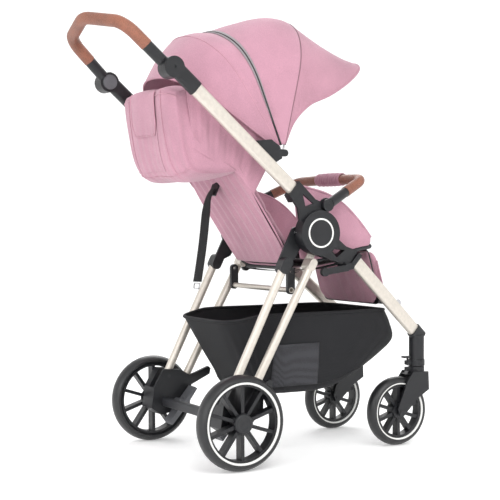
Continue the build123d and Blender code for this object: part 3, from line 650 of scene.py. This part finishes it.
def build_pads():
    padded(
        pad_blank("backrest_pad", 0.143, 0.448, 0.013, 0.045),
        sloped(BACK_FOOT, BACK_ANGLE, 0.0175) @ Matrix.Translation((0, 0.024, 0)), 0.006,
        lambda x, y: channel(y, 0.15, 0.005) + channel(y, 0.30, 0.005) + channel(abs(x), 0.085, 0.004),
        "backrest", ["backrest_cushion"])
    padded(
        pad_blank("seat_pad", 0.142, 0.178, 0.013, 0.026),
        seat_matrix(0.0225) @ Matrix.Translation((0, 0.006, 0)), 0.006,
        lambda x, y: channel(y, 0.09, 0.005) + channel(abs(x), 0.08, 0.004),
        "chassis", ["seat_cushion"])
    padded(
        pad_blank("leg_rest_cushion", 0.140, 0.150, 0.020, 0.030),
        rest_matrix(0.0195) @ Matrix.Translation((0, 0.020, 0)), 0.008,
        lambda x, y: channel(y, 0.05, 0.004) + channel(y, 0.10, 0.004),
        "leg_rest", ["leg_rest_pad"])


# ------------------------------------------------------------------ back rest cover and bag
def on_back(x, up, out):
    """Point on the back rest: up the slope, and out of its rear face."""
    turn = math.radians(BACK_ANGLE)
    return (x, BACK_FOOT[0] + up * math.cos(turn) + out * math.sin(turn),
            BACK_FOOT[1] + up * math.sin(turn) - out * math.cos(turn))


def build_back_cover():
    """Rear cloth of the back rest, pulled into soft upright gathers."""
    rows = []
    for up in np.linspace(0.018, 0.486, 34):
        row = []
        half = 0.150 - 0.010 * max(0.0, 1 - up / 0.10)
        for s in np.linspace(-1, 1, 61):
            gather = 0.0022 * math.sin(s * 26 + 2.2 * math.sin(up * 13)) * min(1.0, up * 8)
            belly = 0.004 * (1 - s * s)
            row.append(on_back(s * half, up, gather + belly + 0.002))
        rows.append(row)
    cover = pink(grid("backrest_cover", rows, 0.002, subdivide=1), "backrest")
    rim = []
    for a in np.linspace(0, 2 * math.pi, 90, endpoint=True):
        c, s = math.cos(a), math.sin(a)
        x = math.copysign(abs(c) ** 0.35, c) * 0.149
        up = 0.246 + math.copysign(abs(s) ** 0.35, s) * 0.240
        rim.append(on_back(x, up, -0.003))
    pink(tube("backrest_piping", rim, 0.0028, 8), "backrest")


GUSSET_TOP = [(-0.006, 0.812), (0.074, 0.860), (0.158, 0.914), (0.236, 0.962), (0.262, 0.950)]
GUSSET_LOW = [(0.062, 0.690), (0.086, 0.714), (0.112, 0.742), (0.165, 0.765), (0.235, 0.800)]
GUSSET_COLUMNS = 50


def build_gussets():
    """Gathered cloth at each side, from the back rest's edge to the bag and up under the hood."""
    top = smooth_line([(0, *p) for p in GUSSET_TOP], GUSSET_COLUMNS)
    low = smooth_line([(0, *p) for p in GUSSET_LOW], GUSSET_COLUMNS)
    for hand, word in SIDES:
        rows = []
        for v in np.linspace(0, 1, 22):
            row = []
            for i in range(GUSSET_COLUMNS):
                y, z = (top[i] + (low[i] - top[i]) * v)[1:]
                gather = 0.0016 * math.sin(i * 0.62 + 2.4 * v) + 0.0010 * math.sin(i * 1.7 - 3.0 * v)
                spread = 0.1500 + 0.008 * (1 - v) ** 2 + gather * math.sin(math.pi * v) ** 0.5
                row.append((hand * spread, y, z))
            rows.append(row)
        gusset = pink(grid("side_gusset_" + word, rows, 0.0024, subdivide=1), "backrest")


BAG_OUTER = [(0.110, 0.738), (0.165, 0.730), (0.222, 0.728), (0.252, 0.738), (0.270, 0.765),
             (0.283, 0.805), (0.293, 0.860), (0.300, 0.915), (0.301, 0.950), (0.292, 0.958),
             (0.258, 0.962), (0.232, 0.940)]
BAG_STEPS = 60
BAG_LINE = smooth_line([(0.0, *p) for p in BAG_OUTER], BAG_STEPS + 1)


def bag_surface(s, t):
    """Point on the bag's cloth: s across from -1 to 1, t round from its foot to its mouth."""
    point = BAG_LINE[int(round(t * BAG_STEPS))]
    inner = np.array([0.0, 0.175, 0.850])
    pinch = 0.13 * abs(s) ** 5 + 0.02 * math.sin(s * 7 + t * 4)
    sag = 0.006 * (1 - s * s) * math.sin(math.pi * t)
    wrinkle = 0.0016 * math.sin(34 * s + 5 * t) * math.sin(math.pi * min(1.0, t * 1.4))
    point = point + (inner - point) * pinch
    return np.array([s * (0.160 - 0.006 * abs(s) ** 3), point[1] + wrinkle, point[2] - sag])


def build_bag():
    span = np.linspace(-1, 1, 61)
    rounds = np.linspace(0, 1, BAG_STEPS + 1)
    rows = [[bag_surface(s, t) for s in span] for t in rounds]
    shell = grid("bag_cloth", rows, 0.0025)
    ends = []
    for hand in (-1, 1):
        edge = [bag_surface(hand, t) for t in rounds]
        centre = np.mean(edge, axis=0)
        wall = []
        for k in np.linspace(0, 1, 6):
            dip = np.array([-hand * 0.006 * math.sin(k * math.pi), 0, 0])
            wall.append([p + (centre - p) * k + dip for p in edge])
        ends.append(grid("bag_end", wall, 0.0025))
    bag = join("bag_cloth", shell, *ends)
    pink(bag, "backrest")
    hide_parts("backrest_bag")
    pieces = []
    for s in (-0.62, 0.66):
        upright = [bag_surface(s, t) + np.array([0, 0.0022, 0]) for t in np.linspace(0.22, 0.86, 40)]
        pieces.append(tube("seam", upright, 0.0009, 6))
    for level, lift, radius in ((0.80, (0, 0.0024, 0.001), 0.0012), (0.34, (0, 0.0020, -0.001), 0.0009)):
        level_line = [bag_surface(s, level) + np.array(lift) for s in span]
        pieces.append(tube("seam", level_line, radius, 6))
    seams = join("bag_seams", *pieces)
    finish_piece(seams, stitch_thread, "backrest")
    flap_rows = []
    for v in np.linspace(0, 1, 12):
        row = []
        for u in np.linspace(-1, 1, 25):
            s = 0.04 + 0.44 * u
            t = 0.84 - 0.26 * v + 0.07 * v * (max(0.0, abs(u) - 0.7) / 0.3) ** 2
            row.append(bag_surface(s, min(1.0, t)) + np.array([0, 0.0045, 0]))
        flap_rows.append(row)
    pocket_rows = [[bag_surface(0.04 + 0.42 * u, t) + np.array([0, 0.0024, 0])
                    for u in np.linspace(-1, 1, 21)] for t in np.linspace(0.36, 0.70, 12)]
    pink(grid("bag_pocket_front", pocket_rows, 0.0018, subdivide=1), "backrest")
    pink(grid("bag_pocket", flap_rows, 0.0022, subdivide=1), "backrest")
    edge = [row[0] for row in flap_rows] + flap_rows[-1] + [row[-1] for row in reversed(flap_rows)]
    edge = smooth_line(np.array(edge) + np.array([0, 0.0012, 0]), 120)
    finish_piece(tube("bag_pocket_edge", edge, 0.0014, 6), stitch_thread, "backrest")


# ------------------------------------------------------------------ seat sides and underside
SIDE_TOP = [(-0.048, 0.716), (-0.100, 0.706), (-0.160, 0.690), (-0.213, 0.662), (-0.262, 0.618),
            (-0.300, 0.574)]
SIDE_LOW = [(-0.072, 0.520), (-0.110, 0.516), (-0.155, 0.522), (-0.205, 0.534), (-0.250, 0.545),
            (-0.294, 0.553)]
WING_COLUMNS = 40


def build_seat_sides():
    """Side wings from the seat up to the back rest, with piping along the top edge."""
    top = smooth_line([(0, *p) for p in SIDE_TOP], WING_COLUMNS)
    low = smooth_line([(0, *p) for p in SIDE_LOW], WING_COLUMNS)
    for hand, word in SIDES:
        rows = []
        for v in np.linspace(0, 1, 14):
            row = []
            for i in range(WING_COLUMNS):
                y, z = (top[i] + (low[i] - top[i]) * v)[1:]
                bulge = 0.0030 * math.sin(math.pi * v) + 0.0009 * math.sin(i * 0.9 + v * 6)
                row.append((hand * (0.1575 + bulge), y, z))
            rows.append(row)
        wing = pink(grid("seat_wing_" + word, rows, 0.0030, subdivide=1), "chassis")
        if hand == 1:
            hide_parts("seat_sides")
        edge = [(hand * 0.158, p[1], p[2] + 0.001) for p in top]
        pink(tube("seat_piping_" + word, edge, 0.0030, 8), "chassis")


def build_under_seat():
    """Hammock cloth under the seat in darker pink, which is painted shade, and crossed webbing that
    holds it.
    """
    rows = []
    for v in np.linspace(0, 1, 16):
        y = -0.075 + v * (-0.292 + 0.075)
        z = 0.497 + 0.038 * v - 0.008 * math.sin(math.pi * v)
        rows.append([(x, y, z - 0.004 * (1 - (x / 0.15) ** 2)) for x in np.linspace(-0.150, 0.150, 25)])
    # The hammock's darker pink is painted shade under the seat.
    hammock = finish_piece(grid("seat_hammock", rows, 0.002, subdivide=1), painted_shade_pink,
                           "chassis")
    for hand, word in SIDES:
        line = smooth_line([(hand * 0.140, -0.075, 0.488), (hand * 0.05, -0.12, 0.482),
                            (-hand * 0.06, -0.19, 0.490), (-hand * 0.140, -0.270, 0.520)], 30)
        line = np.array(line) + np.array([0, 0, -0.001 if hand > 0 else -0.003])
        band = ribbon("seat_web_" + word, line, (0.6 * hand, 0.8, 0.0), 0.024, 0.0014)
        finish_piece(band, LOOKS["black_webbing"], "chassis")


# ------------------------------------------------------------------ leg rest back and seams
def build_leg_rest_cover():
    """Rear cloth of the leg rest with a rounded lower flap, and piping along its edges."""
    turn = math.radians(REST_ANGLE)
    down = np.array([0, math.cos(turn), math.sin(turn)])
    front = np.array([0, math.sin(turn), -math.cos(turn)])
    hinge = np.array([0, *SEAT_FRONT])
    rows = []
    for v in np.linspace(0.012, 0.164, 14):
        row = []
        for s in np.linspace(-1, 1, 41):
            half = 0.145 if v < 0.13 else 0.145 - 0.030 * ((v - 0.13) / 0.034) ** 2
            out = -0.0065 - 0.0030 * (1 - s * s) + 0.0010 * math.sin(s * 19 + v * 30)
            row.append(hinge + down * v + front * out + np.array([s * half, 0, 0]))
        rows.append(row)
    cover = pink(grid("leg_rest_cover", rows, 0.002, subdivide=1), "leg_rest")
    for hand, word in SIDES:
        line = [hinge + down * v + front * 0.0200 + np.array([hand * 0.1400, 0, 0])
                for v in np.linspace(0.048, 0.142, 24)]
        pink(tube("leg_rest_piping_" + word, line, 0.0026, 8), "leg_rest")


# ------------------------------------------------------------------ basket
BASKET_FLOOR, BASKET_RIM = 0.162, 0.377
BASKET_MID = -0.130
BASKET_STEPS = 40
BASKET_SIDE = [(0.158, 0.377), (0.160, 0.330), (0.157, 0.262), (0.150, 0.206), (0.138, 0.168),
               (0.080, 0.163), (0.0, 0.162)]
BASKET_FRONT = [(-0.378, 0.372), (-0.396, 0.332), (-0.406, 0.282), (-0.360, 0.244), (-0.300, 0.212),
                (-0.210, 0.176), (-0.130, 0.162)]
BASKET_REAR = [(0.139, 0.358), (0.112, 0.312), (0.078, 0.254), (0.046, 0.206), (0.020, 0.168),
               (-0.050, 0.163), (-0.130, 0.162)]
BASKET_LINES = [smooth_line([(0, *p) for p in line], BASKET_STEPS + 1)
                for line in (BASKET_SIDE, BASKET_FRONT, BASKET_REAR)]


def basket_point(turn, level):
    """Point on the basket's cloth: turn round the rim, level from the rim (0) to the floor (1)."""
    side, front, rear = (line[int(round(level * BASKET_STEPS))][1:] for line in BASKET_LINES)
    c, s = math.cos(turn), math.sin(turn)
    across = math.copysign(abs(c) ** 0.34, c)
    along = math.copysign(abs(s) ** 0.34, s)
    end = rear if s > 0 else front
    x = across * side[0]
    y = BASKET_MID + abs(along) * (end[0] - BASKET_MID)
    share = abs(along) ** 5
    floor = np.interp(y, [-0.41, -0.36, -0.30, -0.21, -0.16, 0.01, 0.05, 0.08, 0.14],
                      [0.282, 0.246, 0.214, 0.178, 0.163, 0.163, 0.208, 0.256, 0.356])
    height = (side[1] - BASKET_FLOOR) / (BASKET_RIM - BASKET_FLOOR)
    dip = 0.003 * math.sin(math.pi * min(1, max(0, (y + 0.38) / 0.5)))
    rim = BASKET_RIM - 0.014 * max(0.0, y - 0.05) / 0.09 - dip
    z = (floor + (rim - floor) * height) * (1 - share) + end[1] * share
    fold = 0.0016 * math.sin(turn * 23 + level * 7) * math.sin(math.pi * level)
    return np.array([x * (1 + fold * 4), y + fold, z])


def build_basket():
    turns = np.linspace(0, 2 * math.pi, 128, endpoint=False)
    cloth_rows = [[basket_point(a, v) for a in turns] for v in np.linspace(0, 1, BASKET_STEPS + 1)]
    cloth = finish_piece(grid("basket_cloth", cloth_rows, 0.0026, wrap=True), LOOKS["dark_fabric"],
                         "chassis")
    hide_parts("basket")
    round_turns = np.linspace(0, 2 * math.pi, 129)
    rim = [basket_point(a, 0) for a in round_turns]
    finish_piece(tube("basket_rim", rim, 0.0042, 8), LOOKS["dark_fabric"], "chassis")
    crease = [basket_point(a, 0.56) * np.array([1.012, 1.004, 1.0]) for a in round_turns]
    finish_piece(tube("basket_seam", crease, 0.0013, 6), LOOKS["black_webbing"],
                 "chassis")
    for hand, word in SIDES:
        rows = []
        for level in range(9, 23):
            flank = [p for p in cloth_rows[level] if p[0] * hand > 0]
            flank.sort(key=lambda p: p[1])
            ys, xs, zs = ([p[k] for p in flank] for k in (1, 0, 2))
            rows.append([(np.interp(y, ys, xs) + hand * 0.0035, y, np.interp(y, ys, zs))
                         for y in np.linspace(BASKET_MID, 0.010, 16)])
        window = grid("basket_window_" + word, rows, 0.0012)
        finish_piece(window, window_mesh, "chassis")


# ------------------------------------------------------------------ bumper wrap and straps
def build_bumper_wrap():
    """Gathered sleeve round the middle of the bumper bar."""
    low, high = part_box("bumper_wrap")
    centre = (low + high) / 2
    radius = (high.z - low.z) / 2
    rows = []
    for i, x in enumerate(np.linspace(low.x, high.x, 45)):
        s = (x - low.x) / (high.x - low.x)
        puffed = radius * (0.90 + 0.11 * math.sin(math.pi * s) ** 0.5)
        puffed += 0.0009 * math.sin(i * 1.7)
        rows.append([(x, centre.y + (puffed + 0.0007 * math.sin(a * 3 + i * 1.3)) * math.cos(a),
                      centre.z + (puffed + 0.0007 * math.cos(a * 4 + i * 0.9)) * math.sin(a))
                     for a in np.linspace(0, 2 * math.pi, 40, endpoint=False)])
    wrap = pink(grid("bumper_sleeve", rows, 0.002, wrap=True, subdivide=1), "bumper")
    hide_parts("bumper_wrap")


STRAP_WIDTH = 0.025
STRAP_ROUTE = [(0, 101, 706), (0, 116, 690), (0, 124, 640), (0, 131, 575), (0, 140, 515), (0, 150, 459)]


def build_straps():
    """Free recline strap: flat webbing that hangs down behind the back rest to its ring."""
    data = bpy.data.curves.new("recline_route", "CURVE")
    data.dimensions = "3D"
    data.resolution_u = 24
    spline = data.splines.new("NURBS")
    spline.points.add(len(STRAP_ROUTE) - 1)
    for point, place in zip(spline.points, STRAP_ROUTE):
        point.co = (*(c * MM for c in place), 1.0)
    spline.order_u = 3
    spline.use_endpoint_u = True
    guide = bpy.data.objects.new("recline_route", data)
    bpy.context.scene.collection.objects.link(guide)
    bpy.context.view_layer.update()
    line = np.array([v.co for v in bpy.data.meshes.new_from_object(guide).vertices])
    bpy.data.objects.remove(guide)
    share = np.clip(np.linspace(0, 1, len(line)) / 0.35, 0, 1) ** 2
    across = [(math.cos(0.6 * k), math.sin(0.6 * k), 0.0) for k in share]
    strap = finish_piece(ribbon("recline_webbing", line, across, STRAP_WIDTH, 0.0016),
                         LOOKS["black_webbing"], "backrest")
    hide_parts("recline_strap")


# ------------------------------------------------------------------ wheels
RINGS = (("rear", 100.8, (1,)), ("front", 77.3, (1, -1)))


def build_wheel_trim(word, hand):
    """Pale ring on each wheel, and a domed hub cap on each rear wheel."""
    for kind, ring_r, faces in RINGS:
        low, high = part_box("%s_tyre_%s" % (kind, word))
        rim_low, rim_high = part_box("%s_rim_%s" % (kind, word))
        centre = (low + high) / 2
        half = (high.x - low.x) / 2 / MM
        cap_half = (rim_high.x - rim_low.x) / 2 / MM
        body = "%s_wheel_%s" % (kind, word)
        for number, face in enumerate(faces):
            toward = hand * face
            profile = [(half - 4.0, ring_r - 3.4), (half - 1.2, ring_r - 2.8), (half - 0.2, ring_r),
                       (half - 1.2, ring_r + 2.8), (half - 4.0, ring_r + 3.4)]
            ring = turned("%s_ring_%s_%d" % (kind, word, number), profile, centre, 72, toward)
            finish_piece(ring, LOOKS["pale_trim"], body)
        cap = [(cap_half - 3, 26), (cap_half + 1.5, 25), (cap_half + 4.0, 22.5), (cap_half + 4.6, 18),
               (cap_half + 3.2, 16.5), (cap_half + 3.4, 8), (cap_half + 4.2, 0.01)]
        if kind == "rear":
            cap_piece = turned("rear_cap_" + word, cap, centre, 48, hand)
            finish_piece(cap_piece, hub_cap_look, body)


# ------------------------------------------------------------------ floor and looks of the CAD nodes
def add_floor():
    """Plain pale floor that curves up far outside the object on every side."""
    turn = np.linspace(0, 2 * math.pi, 96, endpoint=False)
    bend = [(7.0 + 3.0 * math.sin(a), 3.0 - 3.0 * math.cos(a)) for a in np.linspace(0, math.pi / 2, 14)]
    profile = [(0.001, 0.0), (3.5, 0.0), *bend, (10.0, 6.5)]
    rows = [[(r * math.cos(a), r * math.sin(a), z) for a in turn] for r, z in profile]
    floor = grid("floor", rows, wrap=True)
    floor.data.materials.append(floor_look)


def dress_nodes():
    """Gives each CAD node the look of its slot; two steel nodes are painted dark."""
    slots = {s["node"]: s["material_slot"] for s in frame["record"]["subparts"]}
    for name, node in NODES.items():
        for place in node.material_slots:
            place.link = "OBJECT"
            place.material = painted_steel if name in ("rear_axle", "seat_frame") else LOOKS[slots[name]]


add_camera()
build_straps()
dress_nodes()
build_canopy()
build_pads()
build_back_cover()
build_gussets()
build_bag()
build_seat_sides()
build_under_seat()
build_leg_rest_cover()
build_basket()
build_bumper_wrap()
for hand, word in SIDES:
    build_wheel_trim(word, hand)
add_studio()
add_floor()
